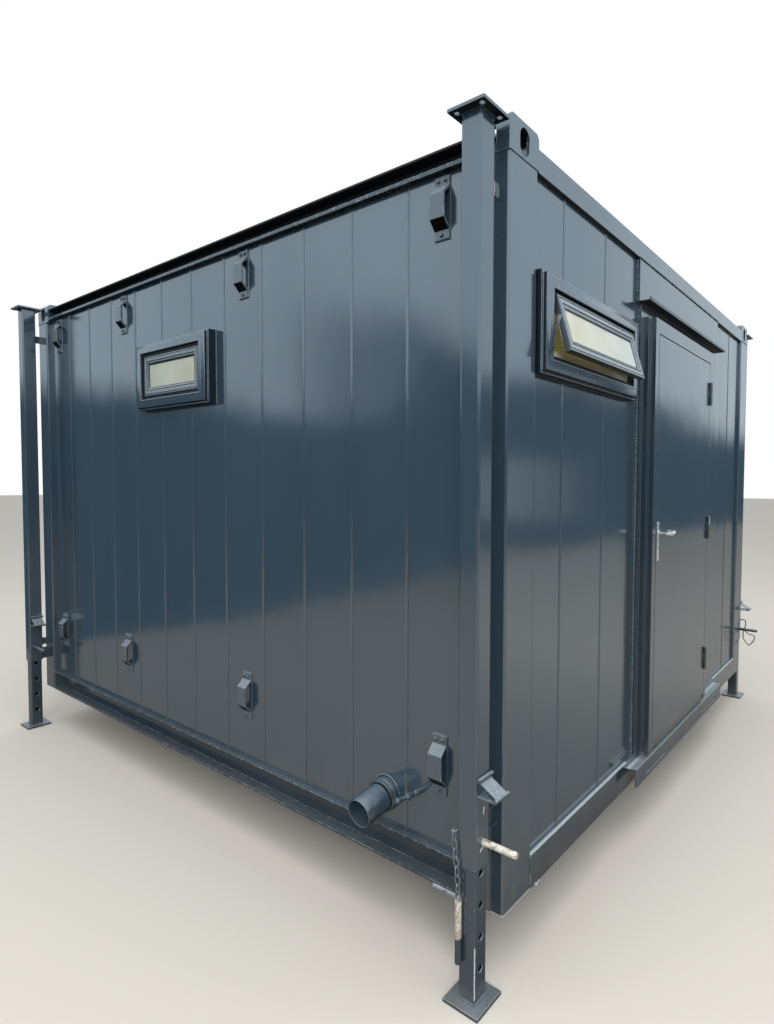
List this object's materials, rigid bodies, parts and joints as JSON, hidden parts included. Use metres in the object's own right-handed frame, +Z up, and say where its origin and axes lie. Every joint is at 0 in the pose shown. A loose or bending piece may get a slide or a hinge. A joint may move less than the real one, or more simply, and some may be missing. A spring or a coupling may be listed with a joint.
{
  "type": "portable site cabin",
  "caption": "Steel portable site cabin on pinned jack legs, with a hinged steel door, a top-hung frosted window, corner lifting blocks, link brackets and a soil pipe.",
  "frame": {"origin": "centre of the footprint of the whole object, on the ground under the foot plates", "axes": "+Z up, -Y the door wall's outside, -X the outside of the side wall with the soil pipe"},
  "size_m": [3.677, 3.894, 2.831],
  "materials": {
    "shell_paint": "semi-gloss",
    "leg_steel": "worn semi-gloss",
    "pin_steel": "worn",
    "lever_alloy": "satin",
    "frosted_glass": "frosted",
    "pipe_plastic": "painted",
    "pipe_brass": "painted over",
    "deck_board": "matt",
    "lining_board": "matt"
  },
  "bodies": {
    "cabin": {"back_wall": "shell_paint", "base_rail_back": "shell_paint", "base_rail_front": "shell_paint", "base_rail_left": "shell_paint", "base_rail_right": "shell_paint", "canopy": "shell_paint", "ceiling": "lining_board", "corner_blocks": "shell_paint", "corner_post_back_left": "shell_paint", "corner_post_back_right": "shell_paint", "corner_post_front_left": "shell_paint", "corner_post_front_right": "shell_paint", "door_head": "shell_paint", "door_jamb_left": "shell_paint", "door_jamb_right": "shell_paint", "door_sill": "shell_paint", "door_step": "shell_paint", "door_surround_left": "shell_paint", "door_surround_right": "shell_paint", "floor_deck": "deck_board", "floor_joists": "shell_paint", "front_wall_left": "shell_paint", "front_wall_right": "shell_paint", "front_window_glass": "frosted_glass", "front_window_sash": "shell_paint", "front_window_surround": "shell_paint", "hanging_pin": "pin_steel", "hinge_frame_knuckles": "shell_paint", "inner_lining": "lining_board", "left_wall": "shell_paint", "leg_housing_back_left": "shell_paint", "leg_housing_back_right": "shell_paint", "leg_housing_front_left": "shell_paint", "leg_housing_front_right": "shell_paint", "leg_inner_back_left": "leg_steel", "leg_inner_back_right": "leg_steel", "leg_inner_front_left": "leg_steel", "leg_inner_front_right": "leg_steel", "leg_pins": "pin_steel", "link_brackets_lower": "shell_paint", "link_brackets_upper": "shell_paint", "lintel_panel": "shell_paint", "right_wall": "shell_paint", "roof_sheet": "shell_paint", "side_window_glass": "frosted_glass", "side_window_sash": "shell_paint", "side_window_surround": "shell_paint", "soil_pipe": "pipe_plastic", "top_rail_back": "shell_paint", "top_rail_front": "shell_paint", "top_rail_left": "shell_paint", "top_rail_right": "shell_paint", "waste_pipe": "pipe_brass", "window_frames": "shell_paint", "window_stays": "shell_paint"},
    "door": {"door_leaf": "shell_paint", "hinge_leaf_knuckles": "shell_paint", "lever_plates": "lever_alloy"},
    "lever": {"lever_handles": "lever_alloy"}
  },
  "joints": [
    {"name": "door_hinge", "type": "hinge", "parent": "cabin", "child": "door", "pos_m": [0.4905, -1.8935, 1.408], "axis": [0, 0, 1], "range_deg": [0, 165]},
    {"name": "lever_spindle", "type": "hinge", "parent": "door", "child": "lever", "pos_m": [-0.389, -1.8855, 1.427], "axis": [0, 1, 0], "range_deg": [0, 45], "stiffness_Nm_per_rad": 1.5, "springref_deg": -34.38}
  ]
}
